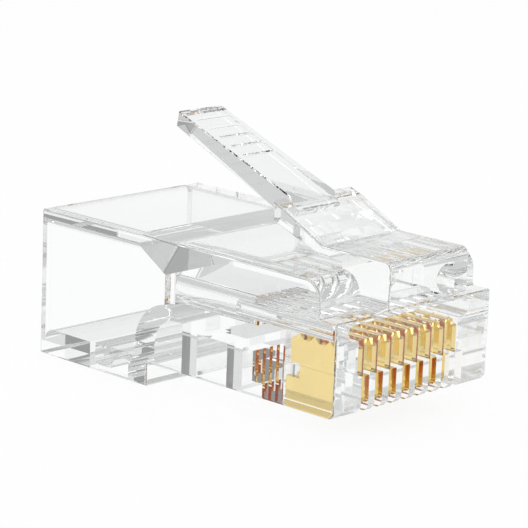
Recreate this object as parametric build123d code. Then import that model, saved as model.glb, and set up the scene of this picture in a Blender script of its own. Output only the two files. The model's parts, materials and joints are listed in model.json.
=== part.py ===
from build123d import *
import os

# Eight-position modular plug for data cable, sizes in millimetres.
# X runs across the plug, -Y is the mating front, +Y the cable entry and +Z the latch side.
# The origin lies under the middle of the plug, on the plane of the lowered rear underside.

# Outer body
body_width = 11.68
body_length = 21.46
insert_height = 6.75
rear_step = 1.25
rear_section_length = 8.35
nose_height = 4.85
shoulder_setback = 1.13
shoulder_radius = 1.1
front_chamfer = 0.28
edge_round = 0.12

# Nose block between the shoulders, with the thin shelf that ends in the latch's root
block_width = 6.0
block_overhang = 0.77
block_length = 3.2
block_rise = 0.87
block_chin = 0.45
block_round = 0.45
shelf_length = 1.2

# Cable cavity
side_wall = 0.8
roof_wall = 0.64
floor_wall = 1.32
entry_round = 0.62
cavity_corner = 0.35
throat_from_step = 0.81
throat_ramp_length = 2.14
throat_height = 1.57

# Arch that lifts the conductors from the floor to the passage
arch_setback = 0.36
arch_radius = 2.5
arch_crown_wall = 0.74
arch_foot_wall = 1.49
arch_window_radius = 1.5

# Conductor passage and channels
pitch = 1.016
contact_count = 8
channel_height = 4.05
channel_diameter = 1.0
channel_length = 5.6
slit_height = 0.85
slit_side_room = 0.49
passage_side_room = 0.13
front_wall = 0.85

# Underside windows between the cross walls
arch_window_length = 2.03
window_shares = (0.4, 0.6)
window_height = 2.2
cross_wall = 1.08
comb_wall = 0.87
comb_ledge_share = 0.5
comb_ledge_height = 0.64

# Contact blades
blade_thickness = 0.35
blade_length = 3.38
blade_foot_height = 1.2
blade_neck_height = 0.78
blade_neck_depth = 0.93
blade_head_setback = 0.3
blade_corner = 0.1
blade_nose_round = 0.45
spike_height = 0.28
spike_width = 0.62
spike_count = 3
spike_clearance = 0.02
crimp_travel = 0.58

# Slots that guide the blades, and the wider comb slots in front of them
slot_side_gap = 0.035
slot_end_gap = 0.05
comb_slot_width = 0.56
comb_slot_height = 1.9

# Latch
latch_web = 0.58
latch_flat = 0.1
latch_rise_length = 2.72
latch_rise_height = 1.37
latch_bend_round = 0.3
latch_wing_length = 0.84
latch_wing_depth = 1.02
wing_corner = 0.15
latch_edge_round = 0.12
handle_edge_chamfer = 0.06
handle_width = 3.25
handle_length = 8.9
handle_slope = 20.8
handle_tip_depth = 0.82
handle_root_depth = 1.26
grip_count = 5
grip_pitch = 0.95
grip_width = 0.18
grip_depth = 0.1
grip_margin = 0.48

# Strain relief bar
bar_depth = 1.15
bar_head = 1.2
bar_web = 0.4
bar_gap = 0.2
bar_round = 0.3
bar_teeth = 3
bar_tooth_height = 0.22
floor_ledge = 3.6
end_wall = 1.77

# Running gap round the root of each thin web
hinge_gap = 0.03

# How far a cutting shape runs on past the face that it opens
overrun = 1.0

# Levels and stations that follow from the sizes above
overall_length = body_length + block_overhang
y_front = -overall_length / 2
y_rear = overall_length / 2
y_face = y_front + block_overhang
y_shoulder = y_face + shoulder_setback
y_step = y_rear - rear_section_length
y_block_rear = y_front + block_length
y_shelf_end = y_block_rear + shelf_length
z_under = rear_step
z_top = rear_step + insert_height
z_nose = rear_step + nose_height
z_block = z_top + block_rise
z_ceiling = z_top - roof_wall
z_floor = floor_wall
z_channel = rear_step + channel_height
half_cavity = body_width / 2 - side_wall
half_conductors = contact_count * pitch / 2
half_passage = half_conductors + passage_side_room
y_throat = y_step - throat_from_step
y_ramp = y_throat + throat_ramp_length
z_throat_floor = z_channel - throat_height / 2
z_throat_roof = z_channel + throat_height / 2
y_arch = y_throat - arch_setback
z_arch = z_throat_floor - arch_radius
y_blade_front = y_face + front_wall
y_blade_rear = y_blade_front + blade_length
y_channel_front = y_blade_front - slot_end_gap
y_channel_rear = y_channel_front + channel_length
y_slot_rear = y_blade_rear + slot_end_gap
blade_height = channel_height - channel_diameter / 2 - spike_height - spike_clearance
y_hatch_front = y_step + end_wall
y_hatch_rear = y_rear - floor_ledge
bar_width = 2 * (half_cavity - bar_gap)


def across(outline, width):
    """A side view outline in Y and Z, drawn out to both sides of the middle plane."""
    return extrude(Plane.YZ * outline, amount=width / 2, both=True)


def block(x_size, y_from, y_to, z_from, z_to):
    """A plain block centred on X."""
    middle = Location((0, (y_from + y_to) / 2, (z_from + z_to) / 2))
    return middle * Box(x_size, y_to - y_from, z_to - z_from)


def field(y_from, y_to, z_from, z_to):
    """A rectangle in a side view outline."""
    middle = Location(((y_from + y_to) / 2, (z_from + z_to) / 2))
    return middle * Rectangle(y_to - y_from, z_to - z_from)


def flat_slot(width, height, y_from, y_to):
    """A round-ended slot that runs along Y at the conductors' level."""
    outline = Location((0, z_channel)) * SlotOverall(width, height)
    return extrude(Plane.XZ.offset(-y_to) * outline, amount=y_to - y_from)


def corner_at(outline, place):
    """The corner of an outline that lies nearest to a place."""
    return outline.vertices().sort_by_distance(place)[0]


def side_edges(solid):
    """The edges round the two flat side faces of a shape drawn out across the plug."""
    sides = solid.faces().filter_by(Axis.X).sort_by(Axis.X)
    return sides[0].edges() + sides[-1].edges()


def contact_places():
    """The X place of each blade, from one side to the other."""
    first = -(contact_count - 1) * pitch / 2
    return [first + index * pitch for index in range(contact_count)]


def latch_pivot():
    """Middle of the thin web where the latch bends, in Y and Z."""
    return y_shelf_end, z_block - latch_web / 2


def bar_pivot():
    """Middle of the thin web where the strain relief bar bends, in Y and Z."""
    return y_hatch_front, z_floor - hinge_gap - bar_web / 2


def web_end(pivot, web):
    """The round root of a thin web, from its underside to its top."""
    y, z = pivot
    return ThreePointArc((y, z - web / 2), (y - web / 2, z), (y, z + web / 2))


def web_seat(pivot, web, width):
    """The round groove that takes a web's root, with its running gap."""
    rod = Cylinder(web / 2 + hinge_gap, width + 2 * hinge_gap, rotation=(0, 90, 0))
    return Location((0, *pivot)) * rod


def outer_body():
    """The moulding's outside, with the stepped underside, shoulders and nose block."""
    outline = Polyline(
        (y_rear, 0),
        (y_step, 0),
        (y_step, z_under),
        (y_face + front_chamfer, z_under),
        (y_face, z_under + front_chamfer),
        (y_face, z_nose),
        (y_shoulder, z_nose),
        (y_shoulder, z_top),
        (y_rear, z_top),
        close=True,
    )
    profile = make_face(outline)
    profile = fillet(corner_at(profile, (y_shoulder, z_top)), shoulder_radius)
    shell = across(profile, body_width)
    return fillet(shell.edges(), edge_round) + nose_block()


def nose_block():
    """The block between the shoulders that stands over the front and roots the latch."""
    outline = Polyline(
        (y_block_rear, z_nose - block_chin),
        (y_face, z_nose - block_chin),
        (y_face, z_nose),
        (y_front, z_nose + block_chin),
        (y_front, z_block),
        (y_shelf_end, z_block),
        (y_shelf_end, z_block - latch_web),
        (y_block_rear, z_block - latch_web),
        close=True,
    )
    profile = make_face(outline)
    solid = across(fillet(corner_at(profile, (y_front, z_block)), block_round), block_width)
    return fillet(side_edges(solid), edge_round)


def cable_cavity():
    """The space for the cable jacket, narrowing over the arch into the conductor passage."""
    mouth = y_rear + overrun
    outline = Polyline(
        (y_arch, z_floor),
        (mouth, z_floor),
        (mouth, z_ceiling),
        (y_ramp, z_ceiling),
        (y_throat, z_throat_roof),
        (y_arch, z_throat_roof),
        close=True,
    )
    arch = Location((y_arch, z_arch)) * Circle(arch_radius)
    arch += field(y_arch, y_arch + arch_radius, 0, z_arch)
    space = across(make_face(outline) - arch, 2 * half_cavity)
    long_edges = space.edges().filter_by(Axis.Y).group_by(Axis.Z)[-1]
    space = fillet(long_edges, cavity_corner)
    throat = block(2 * half_passage, y_arch, y_throat, z_floor, z_ceiling)
    return space & (block(body_width, y_throat, mouth, 0, z_top) + throat)


def entry_lead_in():
    """The rounded rear edge of the floor, where the cable slides in."""
    centre_y = y_rear - entry_round
    centre_z = z_floor - entry_round
    corner = block(2 * half_cavity, centre_y, y_rear + overrun, centre_z, z_floor + overrun)
    rod = Location((0, centre_y, centre_z)) * Cylinder(entry_round, body_width, rotation=(0, 90, 0))
    return corner - rod


def conductor_passage():
    """The flat passage for the conductors, then a slit with one round channel over each blade."""
    space = flat_slot(2 * half_passage, throat_height, y_channel_rear, y_throat + overrun)
    y_joined = y_channel_rear + overrun
    slit_width = 2 * (half_conductors + slit_side_room)
    space += flat_slot(slit_width, slit_height, y_channel_front, y_joined)
    middle = (y_channel_front + y_joined) / 2
    for x in contact_places():
        rod = Cylinder(channel_diameter / 2, y_joined - y_channel_front, rotation=(90, 0, 0))
        space += Location((x, middle, z_channel)) * rod
    return space


def underside_windows():
    """The window under the arch, and those from the comb's ledge up to it, parted by cross walls."""
    width = 2 * half_cavity
    z_mouth = z_under - overrun
    y_first_rear = y_arch + arch_radius - arch_foot_wall
    y_centre = y_first_rear - arch_window_radius
    z_centre = z_throat_floor - arch_crown_wall - arch_window_radius
    y_first_front = y_first_rear - arch_window_length
    under_arch = Location((y_centre, z_centre)) * Circle(arch_window_radius)
    under_arch += field(y_first_front, y_centre, z_centre, z_centre + arch_window_radius)
    under_arch += field(y_first_front, y_first_rear, z_mouth, z_centre)
    under_arch &= field(y_first_front, y_first_rear, z_mouth, z_throat_floor)
    windows = []
    y_comb = y_slot_rear + comb_wall
    room = y_first_front - y_comb - len(window_shares) * cross_wall
    y_start = y_comb
    for share in window_shares:
        y_end = y_start + share * room
        windows.append(block(width, y_start, y_end, z_mouth, z_under + window_height))
        y_start = y_end + cross_wall
    y_ledge = y_comb + comb_ledge_share * window_shares[0] * room
    windows[0] -= block(width, y_comb, y_ledge, z_under + comb_ledge_height, z_top)
    windows.append(across(under_arch, width))
    return windows


def contact_slot(x):
    """The slit that guides one blade, and the wider comb slot that bares its foot in front."""
    z_mouth = z_under - overrun
    z_guide = z_under + blade_height + crimp_travel + slot_end_gap
    guide = block(blade_thickness + 2 * slot_side_gap, y_channel_front, y_slot_rear, z_mouth, z_guide)
    comb = block(comb_slot_width, y_face - overrun, y_slot_rear, z_mouth, z_under + comb_slot_height)
    return Location((x, 0, 0)) * (guide + comb)


def hatch():
    """The opening in the floor that holds the strain relief bar."""
    return block(2 * half_cavity, y_hatch_front, y_hatch_rear, -overrun, z_floor + overrun)


def housing():
    """The clear moulding, open at the rear, with its comb, channels and windows."""
    solid = outer_body()
    solid -= cable_cavity()
    solid -= entry_lead_in()
    solid -= conductor_passage()
    for window in underside_windows():
        solid -= window
    for x in contact_places():
        solid -= contact_slot(x)
    solid -= hatch()
    solid -= web_seat(latch_pivot(), latch_web, block_width)
    solid -= web_seat(bar_pivot(), bar_web, bar_width)
    return solid


def latch():
    """The spring latch: a thin web, a ramp up to the two locking wings, and the handle."""
    y_root, z_root = latch_pivot()
    y_bend = y_root + latch_flat
    y_crest = y_bend + latch_rise_length
    z_crest = z_block + latch_rise_height
    y_wing = y_crest + latch_wing_length
    slope = Vector(1, 0).rotate(Axis.Z, handle_slope)
    z_wing = z_crest + latch_wing_length * slope.Y / slope.X
    z_web = z_block - latch_web
    sides = Polyline(
        (y_root, z_block),
        (y_bend, z_block),
        (y_crest, z_crest),
        (y_wing, z_wing),
        (y_wing, z_wing - latch_wing_depth),
        (y_bend, z_web),
        (y_root, z_web),
    )
    profile = make_face(sides + web_end((y_root, z_root), latch_web))
    bends = [corner_at(profile, place) for place in ((y_bend, z_block), (y_crest, z_crest), (y_bend, z_web))]
    plate = across(fillet(bends, latch_bend_round), block_width)
    plate = chamfer(plate.edges().filter_by(Axis.Z).group_by(Axis.Y)[-1], wing_corner)
    plate = fillet(side_edges(plate), latch_edge_round)
    y_tip = y_wing + handle_length * slope.X
    z_tip = z_wing + handle_length * slope.Y
    handle_outline = Polyline(
        (y_crest, z_crest),
        (y_tip, z_tip),
        (y_tip + handle_tip_depth * slope.Y / 2, z_tip - handle_tip_depth),
        (y_wing, z_wing - handle_root_depth),
        (y_crest, z_crest - latch_web),
        close=True,
    )
    handle = across(make_face(handle_outline), handle_width)
    handle = chamfer(side_edges(handle), handle_edge_chamfer)
    solid = plate + handle
    for index in range(grip_count):
        along = handle_length - (index + 1) * grip_pitch
        place = (0, y_wing + along * slope.X, z_wing + along * slope.Y)
        groove = Box(handle_width - 2 * grip_margin, grip_width, 2 * grip_depth)
        solid -= Location(place, (handle_slope, 0, 0)) * groove
    return solid


def strain_relief_bar():
    """The bar that is pushed up on the jacket, with teeth, on its own thin web."""
    y_root, z_root = bar_pivot()
    z_web = z_root - bar_web / 2
    z_bite = z_root + bar_web / 2
    y_free = y_hatch_rear - bar_gap
    y_head = y_free - bar_head
    sides = Polyline(
        (y_root, z_bite),
        (y_free, z_bite),
        (y_free, z_bite - bar_depth),
        (y_head, z_bite - bar_depth),
        (y_head - bar_web, z_web),
        (y_root, z_web),
    )
    profile = make_face(sides + web_end((y_root, z_root), bar_web))
    profile = fillet(corner_at(profile, (y_free, z_bite - bar_depth)), bar_round)
    tooth_run = bar_head / bar_teeth
    for index in range(bar_teeth):
        y_start = y_head + index * tooth_run
        notch = Polyline(
            (y_start, z_bite),
            (y_start + tooth_run / 2, z_bite - bar_tooth_height),
            (y_start + tooth_run, z_bite),
            close=True,
        )
        profile -= make_face(notch)
    return across(profile, bar_width)


def contact(x):
    """One gold blade: foot, waisted neck and a head with piercing spikes."""
    z_foot = z_under + blade_foot_height
    z_neck = z_foot + blade_neck_height
    z_head = z_under + blade_height
    y_head = y_blade_rear - blade_head_setback
    y_neck = y_blade_rear - blade_neck_depth
    profile = field(y_blade_front, y_blade_rear, z_under, z_foot)
    profile += field(y_blade_front, y_neck, z_foot, z_neck)
    profile += field(y_blade_front, y_head, z_neck, z_head)
    profile = fillet(corner_at(profile, (y_blade_front, z_under)), blade_nose_round)
    corners = [
        corner_at(profile, place)
        for place in ((y_blade_rear, z_under), (y_head, z_head), (y_blade_front, z_head))
    ]
    profile = fillet(corners, blade_corner)
    spike_pitch = (y_head - y_blade_front) / spike_count
    for index in range(spike_count):
        y_spike = y_blade_front + (index + 0.5) * spike_pitch
        spike = Polyline(
            (y_spike - spike_width / 2, z_head),
            (y_spike, z_head + spike_height),
            (y_spike + spike_width / 2, z_head),
            close=True,
        )
        profile += make_face(spike)
    return Location((x, 0, 0)) * across(profile, blade_thickness)


def main():
    os.makedirs("parts", exist_ok=True)
    export_step(housing(), "parts/housing.step")
    export_step(latch(), "parts/latch.step")
    export_step(strain_relief_bar(), "parts/strain_relief_bar.step")
    for number, x in enumerate(contact_places(), start=1):
        export_step(contact(x), f"parts/contact_{number}.step")


main()
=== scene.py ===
import json
import math

import bpy
from mathutils import Matrix, Vector

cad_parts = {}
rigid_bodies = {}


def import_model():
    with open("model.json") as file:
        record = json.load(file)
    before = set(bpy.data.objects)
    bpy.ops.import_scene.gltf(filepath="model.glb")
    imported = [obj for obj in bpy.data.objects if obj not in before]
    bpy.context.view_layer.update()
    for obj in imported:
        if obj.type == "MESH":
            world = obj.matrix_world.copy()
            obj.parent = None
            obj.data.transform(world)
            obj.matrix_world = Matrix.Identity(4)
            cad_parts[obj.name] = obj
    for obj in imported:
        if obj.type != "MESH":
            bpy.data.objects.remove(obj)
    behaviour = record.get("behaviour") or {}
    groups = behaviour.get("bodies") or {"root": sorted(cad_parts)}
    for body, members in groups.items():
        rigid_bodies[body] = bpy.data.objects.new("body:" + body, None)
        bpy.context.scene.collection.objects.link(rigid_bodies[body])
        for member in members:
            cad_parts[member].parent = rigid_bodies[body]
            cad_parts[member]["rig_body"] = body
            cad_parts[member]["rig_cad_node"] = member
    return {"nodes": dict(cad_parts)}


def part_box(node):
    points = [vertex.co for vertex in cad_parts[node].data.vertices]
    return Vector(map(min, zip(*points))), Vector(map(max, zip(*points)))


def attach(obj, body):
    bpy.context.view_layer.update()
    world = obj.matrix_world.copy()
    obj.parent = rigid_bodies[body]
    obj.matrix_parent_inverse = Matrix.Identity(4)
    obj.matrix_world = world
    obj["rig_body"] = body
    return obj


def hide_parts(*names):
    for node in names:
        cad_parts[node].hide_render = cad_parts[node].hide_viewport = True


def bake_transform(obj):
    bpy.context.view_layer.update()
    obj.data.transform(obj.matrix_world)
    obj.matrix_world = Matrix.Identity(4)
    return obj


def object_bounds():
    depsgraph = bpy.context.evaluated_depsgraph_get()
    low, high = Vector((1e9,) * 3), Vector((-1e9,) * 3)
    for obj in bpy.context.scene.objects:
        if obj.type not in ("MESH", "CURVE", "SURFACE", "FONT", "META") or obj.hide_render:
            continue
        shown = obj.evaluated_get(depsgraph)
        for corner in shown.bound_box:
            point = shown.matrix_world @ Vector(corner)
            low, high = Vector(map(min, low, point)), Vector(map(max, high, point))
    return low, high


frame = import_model()
cad_low, cad_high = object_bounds()

MM = 0.001

# Camera, fitted to the photograph's edges: angles in degrees, lengths in millimetres.
CAMERA_AZIMUTH = -46.494
CAMERA_ELEVATION = 13.548
CAMERA_ROLL = 2.218
CAMERA_DISTANCE = 135.821
CAMERA_TARGET = (0.217, 0.385, 6.13)
CAMERA_LENS = 176.43
SENSOR_WIDTH = 36.0
NEAREST_SEEN = 1
FURTHEST_SEEN = 10000

# The room round the plug: its shade at each height from straight down (-1) to straight up (1), and the
# same for the dark side of the room.
ROOM = (
    (-1.0, "#c8c8c8"),
    (-0.64, "#bcbcbc"),
    (-0.57, "#f8f8f8"),
    (-0.52, "#ffffff"),
    (0.19, "#ffffff"),
    (0.26, "#dedede"),
    (0.45, "#d0d0d0"),
    (0.9, "#cccccc"),
    (1.0, "#ffffff"),
)
DARK_SIDE = (
    (-1.0, "#d0d0d0"),
    (-0.38, "#c6c6c6"),
    (-0.31, "#f4f4f4"),
    (-0.22, "#f4f4f4"),
    (-0.16, "#969696"),
    (0.3, "#8c8c8c"),
    (0.5, "#aaaaaa"),
    (0.7, "#d0d0d0"),
)

# Which way the dark side lies, and the cosines at which it starts and is full.
DARK_WAY = (0.707, -0.707, 0.0)
DARK_EDGE = (0.45, 0.7)

# Soft lamps: name, place and width in metres, and power in watts.
LAMPS = (
    ("overhead_softbox", (0.05, 0.02, 0.30), 0.30, 0.4),
    ("left_softbox", (-0.30, -0.05, 0.15), 0.20, 0.2),
)

# The floor: its width in metres, how far below the plug it lies in millimetres, and how much of its
# white is its own, so that only a faint shadow shows.
FLOOR_WIDTH = 4.0
FLOOR_GAP = 0.01
FLOOR_GLOW = 0.9

# Surface patterns, in millimetres: the ripples of the cooled plastic, the width of the rolling marks along
# the blades and that width over their length, and the clouds in the gold's tint.
RIPPLE_SIZE = 6.0
MARK_WIDTH = 0.04
MARK_SLENDERNESS = 0.06
CLOUD_SIZE = 0.9

# Corners of a solid's triangles nearer than this, in millimetres, are one corner, and triangles that turn
# less than this are one flat face.
MERGE_DISTANCE = 0.0005
FLAT_TURN = math.radians(0.5)

# Faces that turn less than the first angle stay smooth where they meet, and below the second they count
# as not turning at all.
SMOOTH_ANGLE = math.radians(13)
SMALLEST_TURN = math.radians(0.6)

# What tells a flat face from the facets of a round that it runs into: how many times larger it is than
# each, how many times more they turn among themselves, and the share of that rim on which they do.
FAR_LARGER = 8
TURN_GROWTH = 1.5
RIM_SHARE = 0.505

# A face is square to an axis from this cosine up, and lies at a station within this many millimetres.
SQUARE_ON = 0.99
STATION_ROOM = 0.01

# The flexing root of the latch, in millimetres: where its moulding parts from the housing's, where its own
# round root is cut off, how far past that the housing's seat for it is cut, and the number of steps in
# which the root is run out to the seam.
ROOT_SEAM_Y = -7.85
ROOT_CUT_Y = -6.71
ROOT_PAST_CUT = 1.0
ROOT_BEND_STEPS = 8
ROOT_HALF_WIDTH = 3.1
ROOT_LOW_Z = 8.05
ROOT_HIGH_Z = 9.0

# Which slot walls press against a blade, in millimetres: those this near to its left side whose middles
# lie more than this above its lowest point and less than this above its top.
SEAT_REACH = 0.07
SEAT_LOW = 1.95
SEAT_RISE = 0.4

# The plug's own bodies.
HOUSING = "body"
STRAIN_RELIEF = "strain_relief"
CONTACTS = sorted(name for name in frame["nodes"] if name.startswith("contact_"))

# The record's material slots, and which of a piece's materials is the joined one.
PLASTIC_SLOT = "clear_polycarbonate"
GOLD_SLOT = "gold_plate"
JOINED_INDEX = 1


def linear(colour):
    """An sRGB hex colour as linear red, green, blue and alpha."""
    shades = [int(colour[i:i + 2], 16) / 255 for i in (1, 3, 5)]
    return [s / 12.92 if s <= 0.04045 else ((s + 0.055) / 1.055) ** 2.4 for s in shades] + [1.0]


def add_node(tree, kind, settings=None, links=None):
    """A shader node with its socket values and properties set and its inputs linked."""
    node = tree.nodes.new(kind)
    for name, value in (settings or {}).items():
        if name in node.inputs:
            node.inputs[name].default_value = value
        else:
            setattr(node, name, value)
    for name, source in (links or {}).items():
        tree.links.new(source, node.inputs[name])
    return node


def new_material(name):
    """An empty node material and its output node."""
    material = bpy.data.materials.new(name)
    material.use_nodes = True
    material.node_tree.nodes.clear()
    return material, add_node(material.node_tree, "ShaderNodeOutputMaterial")


def clear_polycarbonate():
    """Injection-moulded clear polycarbonate: polished faces that ripple very slightly as they cooled.

    Light from the lamps goes straight through, so that the plug casts a soft pale shadow.
    """
    material, output = new_material("moulded_clear_polycarbonate")
    tree = material.node_tree
    place = add_node(tree, "ShaderNodeTexCoord")
    ripple = add_node(tree, "ShaderNodeTexNoise",
                      {"Scale": 1 / (RIPPLE_SIZE * MM), "Detail": 1.0, "Roughness": 0.4},
                      {"Vector": place.outputs["Object"]})
    bump = add_node(tree, "ShaderNodeBump", {"Strength": 0.03, "Distance": 0.02 * MM},
                    {"Height": ripple.outputs["Fac"]})
    plastic = add_node(tree, "ShaderNodeBsdfPrincipled", {
        "Base Color": linear("#fbfcfc"),
        "Roughness": 0.0,
        "IOR": 1.58,
        "Transmission Weight": 1.0,
    }, {"Normal": bump.outputs["Normal"]})
    rays = add_node(tree, "ShaderNodeLightPath")
    lamp_light = add_node(tree, "ShaderNodeBsdfTransparent", {"Color": linear("#f2f3f3")})
    mix = add_node(tree, "ShaderNodeMixShader", {}, {"Fac": rays.outputs["Is Shadow Ray"]})
    tree.links.new(plastic.outputs["BSDF"], mix.inputs[1])
    tree.links.new(lamp_light.outputs["BSDF"], mix.inputs[2])
    tree.links.new(mix.outputs["Shader"], output.inputs["Surface"])
    return material


def joined_polycarbonate():
    """Polycarbonate with no air beside it, against a blade or a part of its own moulding: light goes on."""
    material, output = new_material("joined_clear_polycarbonate")
    clear = add_node(material.node_tree, "ShaderNodeBsdfPrincipled",
                     {"Base Color": linear("#ffffff"), "Alpha": 0.0})
    material.node_tree.links.new(clear.outputs["BSDF"], output.inputs["Surface"])
    return material


def gold_plate():
    """Gold flash over nickel on stamped phosphor bronze: bright, with fine rolling marks on the blade.

    The marks catch the light as a faint grain along the strip, and the thin plating's tint is slightly
    cloudy.
    """
    material, output = new_material("gold_plated_phosphor_bronze")
    tree = material.node_tree
    place = add_node(tree, "ShaderNodeTexCoord")
    rolled = add_node(tree, "ShaderNodeMapping", {"Scale": (1.0, MARK_SLENDERNESS, 1.0)},
                      {"Vector": place.outputs["Object"]})
    marks = add_node(tree, "ShaderNodeTexNoise",
                     {"Scale": 1 / (MARK_WIDTH * MM), "Detail": 3.0, "Roughness": 0.6},
                     {"Vector": rolled.outputs["Vector"]})
    clouds = add_node(tree, "ShaderNodeTexNoise",
                      {"Scale": 1 / (CLOUD_SIZE * MM), "Detail": 3.0, "Roughness": 0.55},
                      {"Vector": place.outputs["Object"]})
    tint = add_node(tree, "ShaderNodeMix", {"data_type": "RGBA"}, {"Factor": clouds.outputs["Fac"]})
    tint.inputs["A"].default_value = linear("#f7da86")
    tint.inputs["B"].default_value = linear("#fae29a")
    sheen = add_node(tree, "ShaderNodeMapRange",
                     {"From Min": 0.35, "From Max": 0.65, "To Min": 0.05, "To Max": 0.1},
                     {"Value": marks.outputs["Fac"]})
    bump = add_node(tree, "ShaderNodeBump", {"Strength": 0.05, "Distance": 0.01 * MM},
                    {"Height": marks.outputs["Fac"]})
    gold = add_node(tree, "ShaderNodeBsdfPrincipled", {"Metallic": 1.0}, {
        "Base Color": tint.outputs["Result"],
        "Roughness": sheen.outputs["Result"],
        "Normal": bump.outputs["Normal"],
    })
    tree.links.new(gold.outputs["BSDF"], output.inputs["Surface"])
    return material


def only(piece):
    """Makes a piece the one selected and active object."""
    bpy.ops.object.select_all(action="DESELECT")
    piece.select_set(True)
    bpy.context.view_layer.objects.active = piece


def moulding_of(node, name):
    """A copy of a solid's mesh with its loose triangles merged into whole flat faces."""
    piece = frame["nodes"][node].copy()
    piece.data = frame["nodes"][node].data.copy()
    piece.name = name
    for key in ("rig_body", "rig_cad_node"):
        del piece[key]
    piece.parent = None
    bpy.context.scene.collection.objects.link(piece)
    only(piece)
    bpy.ops.object.mode_set(mode="EDIT")
    bpy.ops.mesh.select_all(action="SELECT")
    bpy.ops.mesh.remove_doubles(threshold=MERGE_DISTANCE * MM)
    bpy.ops.mesh.dissolve_limited(angle_limit=FLAT_TURN)
    bpy.ops.object.mode_set(mode="OBJECT")
    return piece


def slight_turns(mesh):
    """For every face, the faces that it meets smoothly: the turn, the shared length and the other face."""
    sides = {}
    for face in mesh.polygons:
        for edge in face.edge_keys:
            sides.setdefault(edge, []).append(face)
    turns = [[] for _ in mesh.polygons]
    for (start, end), pair in sides.items():
        if len(pair) == 2:
            one, other = pair
            turn = one.normal.angle(other.normal)
            if turn < SMOOTH_ANGLE:
                length = (mesh.vertices[end].co - mesh.vertices[start].co).length
                turns[one.index].append((turn, length, other.index))
                turns[other.index].append((turn, length, one.index))
    return turns


def flat_faces(mesh, turns):
    """Whether each face is a flat one.

    A flat face turns slightly into one other at most, or is far larger than the facets round it, or meets
    them along most of that rim at a smaller turn than they have between themselves.
    """
    flat = []
    for face, meets in zip(mesh.polygons, turns):
        bent = [meet for meet in meets if meet[0] > SMALLEST_TURN]
        far_larger = all(face.area > FAR_LARGER * mesh.polygons[other].area for _, _, other in bent)
        rim = sum(length for _, length, _ in bent)
        rim_of_round = sum(
            length for turn, length, other in bent
            if any(further > TURN_GROWTH * turn for further, _, _ in turns[other])
        )
        flat.append(len(bent) < 2 or far_larger or rim_of_round > RIM_SHARE * rim)
    return flat


def fan_normal(faces, flat):
    """The one normal of a smooth fan of faces at a vertex: its largest flat face's, or else their mean."""
    flats = [face for face in faces if flat[face.index]]
    if flats:
        return max(flats, key=lambda face: face.area).normal.copy()
    mean = []
    for face in faces:
        if all(face.normal.dot(seen) < math.cos(SMALLEST_TURN) for seen in mean):
            mean.append(face.normal)
    return sum(mean, Vector()).normalized()


def keep_flats_flat(mesh):
    """Gives flat faces their own normal right up to their rim, and the facets of rounds a smooth turn."""
    turns = slight_turns(mesh)
    flat = flat_faces(mesh, turns)
    corners = [[] for _ in mesh.vertices]
    for face in mesh.polygons:
        for loop, vertex in zip(face.loop_indices, face.vertices):
            corners[vertex].append((loop, face))
    normals = [Vector()] * len(mesh.loops)
    for left in corners:
        while left:
            fan = [left.pop()]
            for _, face in fan:
                met = {other for _, _, other in turns[face.index]}
                fan += [corner for corner in left if corner[1].index in met]
                left = [corner for corner in left if corner[1].index not in met]
            normal = fan_normal([face for _, face in fan], flat)
            for loop, _ in fan:
                normals[loop] = normal
    mesh.normals_split_custom_set(normals)


def finish_piece(piece, slot, *materials):
    """Gives a finished piece its smoothing and its materials, the plain one first. The record slot is not
    used.
    """
    only(piece)
    bpy.ops.object.shade_smooth_by_angle(angle=SMOOTH_ANGLE)
    keep_flats_flat(piece.data)
    piece.data.materials.clear()
    for material in materials:
        piece.data.materials.append(material)


def cut_root(piece, y_end):
    """Cuts the latch's root out of a piece, from its seam to a station in millimetres."""
    low = Vector((-ROOT_HALF_WIDTH, ROOT_SEAM_Y, ROOT_LOW_Z)) * MM
    high = Vector((ROOT_HALF_WIDTH, y_end, ROOT_HIGH_Z)) * MM
    bpy.ops.object.select_all(action="DESELECT")
    bpy.ops.mesh.primitive_cube_add(size=1.0, location=(low + high) / 2)
    cutter = bpy.context.object
    cutter.scale = high - low
    bpy.ops.object.transform_apply(location=False, rotation=False, scale=True)
    only(piece)
    cut = piece.modifiers.new("cut", "BOOLEAN")
    cut.operation = "DIFFERENCE"
    cut.solver = "EXACT"
    cut.object = cutter
    bpy.ops.object.modifier_apply(modifier=cut.name)
    bpy.data.objects.remove(cutter)


def faces_across(piece, y):
    """The indices of a piece's faces that lie square across the plug at one station, in millimetres."""
    return [
        face.index for face in piece.data.polygons
        if abs(face.normal.y) > SQUARE_ON and abs(face.center.y - y * MM) < STATION_ROOM * MM
    ]


def seat_faces(piece):
    """The indices of the slot walls that the left sides of all blades but the first press against."""
    found = []
    for node in CONTACTS[1:]:
        low, high = (Vector(corner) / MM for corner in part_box(node))
        for face in piece.data.polygons:
            x, y, z = face.center / MM
            if (face.normal.x > SQUARE_ON and abs(x - low.x) < SEAT_REACH
                    and low.y - SEAT_REACH < y < high.y + SEAT_REACH
                    and low.z + SEAT_LOW < z < high.z + SEAT_RISE):
                found.append(face.index)
    return found


def housing(plastic, joined):
    """The housing up to the seam of the latch's root, its slots closed where blades press on them."""
    piece = moulding_of("housing", "housing_moulding")
    cut_root(piece, ROOT_CUT_Y + ROOT_PAST_CUT)
    finish_piece(piece, PLASTIC_SLOT, plastic, joined)
    seam = [
        index for index in faces_across(piece, ROOT_SEAM_Y)
        if piece.data.polygons[index].center.z > ROOT_LOW_Z * MM
    ]
    for index in seam + seat_faces(piece):
        piece.data.polygons[index].material_index = JOINED_INDEX
    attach(piece, HOUSING)
    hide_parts("housing")


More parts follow.
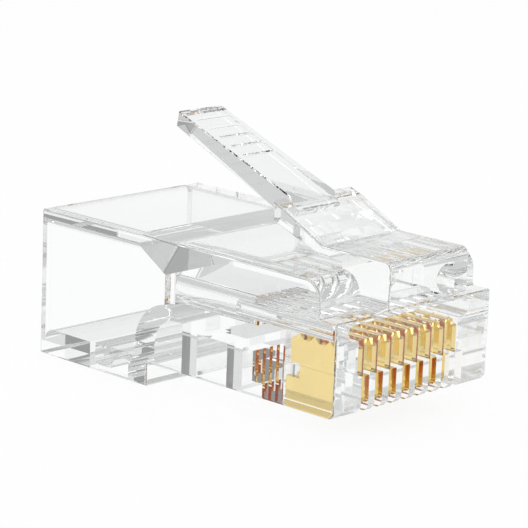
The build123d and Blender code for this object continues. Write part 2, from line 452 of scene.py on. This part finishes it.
def latch(plastic, joined):
    """The latch in one piece with its flexing root, which is run out in steps from where it is cut off to
    the seam with the housing.
    """
    piece = moulding_of("latch", "latch_moulding")
    cut_root(piece, ROOT_CUT_Y)
    step = (ROOT_SEAM_Y - ROOT_CUT_Y) / ROOT_BEND_STEPS * MM
    only(piece)
    bpy.ops.object.mode_set(mode="EDIT")
    bpy.ops.mesh.select_all(action="DESELECT")
    bpy.ops.object.mode_set(mode="OBJECT")
    for index in faces_across(piece, ROOT_CUT_Y):
        piece.data.polygons[index].select = True
    bpy.ops.object.mode_set(mode="EDIT")
    bpy.ops.mesh.select_mode(type="FACE")
    for _ in range(ROOT_BEND_STEPS):
        bpy.ops.mesh.extrude_region_move(TRANSFORM_OT_translate={"value": (0, step, 0)})
    bpy.ops.object.mode_set(mode="OBJECT")
    finish_piece(piece, PLASTIC_SLOT, plastic, joined)
    for index in faces_across(piece, ROOT_SEAM_Y):
        piece.data.polygons[index].material_index = JOINED_INDEX
    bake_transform(piece)
    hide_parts("latch")


def strain_relief_bar(plastic):
    """The toothed bar in the floor, clear as the housing."""
    piece = moulding_of("strain_relief_bar", "strain_relief_moulding")
    finish_piece(piece, PLASTIC_SLOT, plastic)
    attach(piece, STRAIN_RELIEF)
    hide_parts("strain_relief_bar")


def contact_blades(gold):
    """The gold blades, each on its own body."""
    for node in CONTACTS:
        piece = moulding_of(node, node.replace("contact", "blade"))
        finish_piece(piece, GOLD_SLOT, gold)
        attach(piece, node)
        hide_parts(node)


def floor():
    """A plain pale floor that carries the plug's soft shadow; light bent by the plastic looks past it."""
    bpy.ops.object.select_all(action="DESELECT")
    bpy.ops.mesh.primitive_plane_add(size=FLOOR_WIDTH, location=(0, 0, cad_low.z - FLOOR_GAP * MM))
    plane = bpy.context.object
    plane.name = "floor"
    material, output = new_material("pale_floor")
    tree = material.node_tree
    matt = add_node(tree, "ShaderNodeBsdfDiffuse", {"Color": linear("#f4f4f4")})
    glow = add_node(tree, "ShaderNodeEmission", {"Color": linear("#ffffff"), "Strength": 1.0})
    mix = add_node(tree, "ShaderNodeMixShader", {"Fac": FLOOR_GLOW})
    tree.links.new(matt.outputs["BSDF"], mix.inputs[1])
    tree.links.new(glow.outputs["Emission"], mix.inputs[2])
    rays = add_node(tree, "ShaderNodeLightPath")
    through = add_node(tree, "ShaderNodeMath", {"operation": "MAXIMUM"})
    tree.links.new(rays.outputs["Is Transmission Ray"], through.inputs[0])
    tree.links.new(rays.outputs["Is Glossy Ray"], through.inputs[1])
    gone = add_node(tree, "ShaderNodeBsdfTransparent")
    pick = add_node(tree, "ShaderNodeMixShader", {}, {"Fac": through.outputs["Value"]})
    tree.links.new(mix.outputs["Shader"], pick.inputs[1])
    tree.links.new(gone.outputs["BSDF"], pick.inputs[2])
    tree.links.new(pick.outputs["Shader"], output.inputs["Surface"])
    plane.data.materials.append(material)


def shade_by_height(tree, level, stops):
    """A ramp of room shades over height."""
    node = add_node(tree, "ShaderNodeValToRGB", {}, {"Fac": level.outputs["Result"]})
    ramp = node.color_ramp
    while len(ramp.elements) < len(stops):
        ramp.elements.new(0.5)
    for element, (height, colour) in zip(ramp.elements, stops):
        element.position = (height + 1) / 2
        element.color = linear(colour)
    return node


def studio_world():
    """White to the camera; to the plastic and the gold, a room that is white round the plug.

    The room is grey above and below, and it has one dark side.
    """
    world = bpy.data.worlds.new("studio")
    bpy.context.scene.world = world
    world.use_nodes = True
    tree = world.node_tree
    tree.nodes.clear()
    way = add_node(tree, "ShaderNodeTexCoord")
    parts = add_node(tree, "ShaderNodeSeparateXYZ", {}, {"Vector": way.outputs["Generated"]})
    level = add_node(tree, "ShaderNodeMapRange", {"From Min": -1.0, "From Max": 1.0},
                     {"Value": parts.outputs["Z"]})
    room = shade_by_height(tree, level, ROOM)
    dark = shade_by_height(tree, level, DARK_SIDE)
    facing = add_node(tree, "ShaderNodeVectorMath", {"operation": "DOT_PRODUCT"})
    tree.links.new(way.outputs["Generated"], facing.inputs[0])
    facing.inputs[1].default_value = DARK_WAY
    cover = add_node(tree, "ShaderNodeMapRange", {
        "interpolation_type": "SMOOTHSTEP",
        "From Min": DARK_EDGE[0],
        "From Max": DARK_EDGE[1],
    }, {"Value": facing.outputs["Value"]})
    sides = add_node(tree, "ShaderNodeMix", {"data_type": "RGBA"}, {"Factor": cover.outputs["Result"]})
    tree.links.new(room.outputs["Color"], sides.inputs["A"])
    tree.links.new(dark.outputs["Color"], sides.inputs["B"])
    rays = add_node(tree, "ShaderNodeLightPath")
    shade = add_node(tree, "ShaderNodeMix", {"data_type": "RGBA"},
                     {"Factor": rays.outputs["Is Camera Ray"]})
    tree.links.new(sides.outputs["Result"], shade.inputs["A"])
    shade.inputs["B"].default_value = linear("#ffffff")
    glow = add_node(tree, "ShaderNodeBackground", {"Strength": 1.0}, {"Color": shade.outputs["Result"]})
    output = add_node(tree, "ShaderNodeOutputWorld")
    tree.links.new(glow.outputs["Background"], output.inputs["Surface"])


def lamp(name, place, width, power):
    """A square soft lamp that faces the plug."""
    light = bpy.data.lights.new(name, "AREA")
    light.size = width
    light.energy = power
    body = bpy.data.objects.new(name, light)
    bpy.context.scene.collection.objects.link(body)
    body.location = place
    aim = Vector(CAMERA_TARGET) * MM - Vector(place)
    body.rotation_mode = "QUATERNION"
    body.rotation_quaternion = aim.to_track_quat("-Z", "Y")


def camera():
    """The photograph's camera, turned about its own line of sight by its roll."""
    azimuth, elevation, roll = (math.radians(a) for a in (CAMERA_AZIMUTH, CAMERA_ELEVATION, CAMERA_ROLL))
    back = Vector((
        math.sin(azimuth) * math.cos(elevation),
        -math.cos(azimuth) * math.cos(elevation),
        math.sin(elevation),
    ))
    right = (-back).cross(Vector((0, 0, 1))).normalized()
    up = right.cross(-back)
    rolled_right = math.cos(roll) * right + math.sin(roll) * up
    rolled_up = math.cos(roll) * up - math.sin(roll) * right
    data = bpy.data.cameras.new("photo_camera")
    data.lens = CAMERA_LENS
    data.sensor_width = SENSOR_WIDTH
    data.clip_start = NEAREST_SEEN * MM
    data.clip_end = FURTHEST_SEEN * MM
    view = bpy.data.objects.new("photo_camera", data)
    bpy.context.scene.collection.objects.link(view)
    view.rotation_mode = "QUATERNION"
    view.rotation_quaternion = Matrix((rolled_right, rolled_up, back)).transposed().to_quaternion()
    view.location = (Vector(CAMERA_TARGET) + CAMERA_DISTANCE * back) * MM
    bpy.context.scene.camera = view


def render_settings():
    """Enough bounces for light to find its way out of the plastic, and plain colours."""
    cycles = bpy.context.scene.cycles
    cycles.max_bounces = 48
    cycles.transmission_bounces = 48
    cycles.glossy_bounces = 32
    cycles.transparent_max_bounces = 64
    bpy.context.scene.view_settings.view_transform = "Standard"


plastic = clear_polycarbonate()
joined = joined_polycarbonate()
gold = gold_plate()
housing(plastic, joined)
latch(plastic, joined)
strain_relief_bar(plastic)
contact_blades(gold)
floor()
studio_world()
for name, place, width, power in LAMPS:
    lamp(name, place, width, power)
camera()
render_settings()
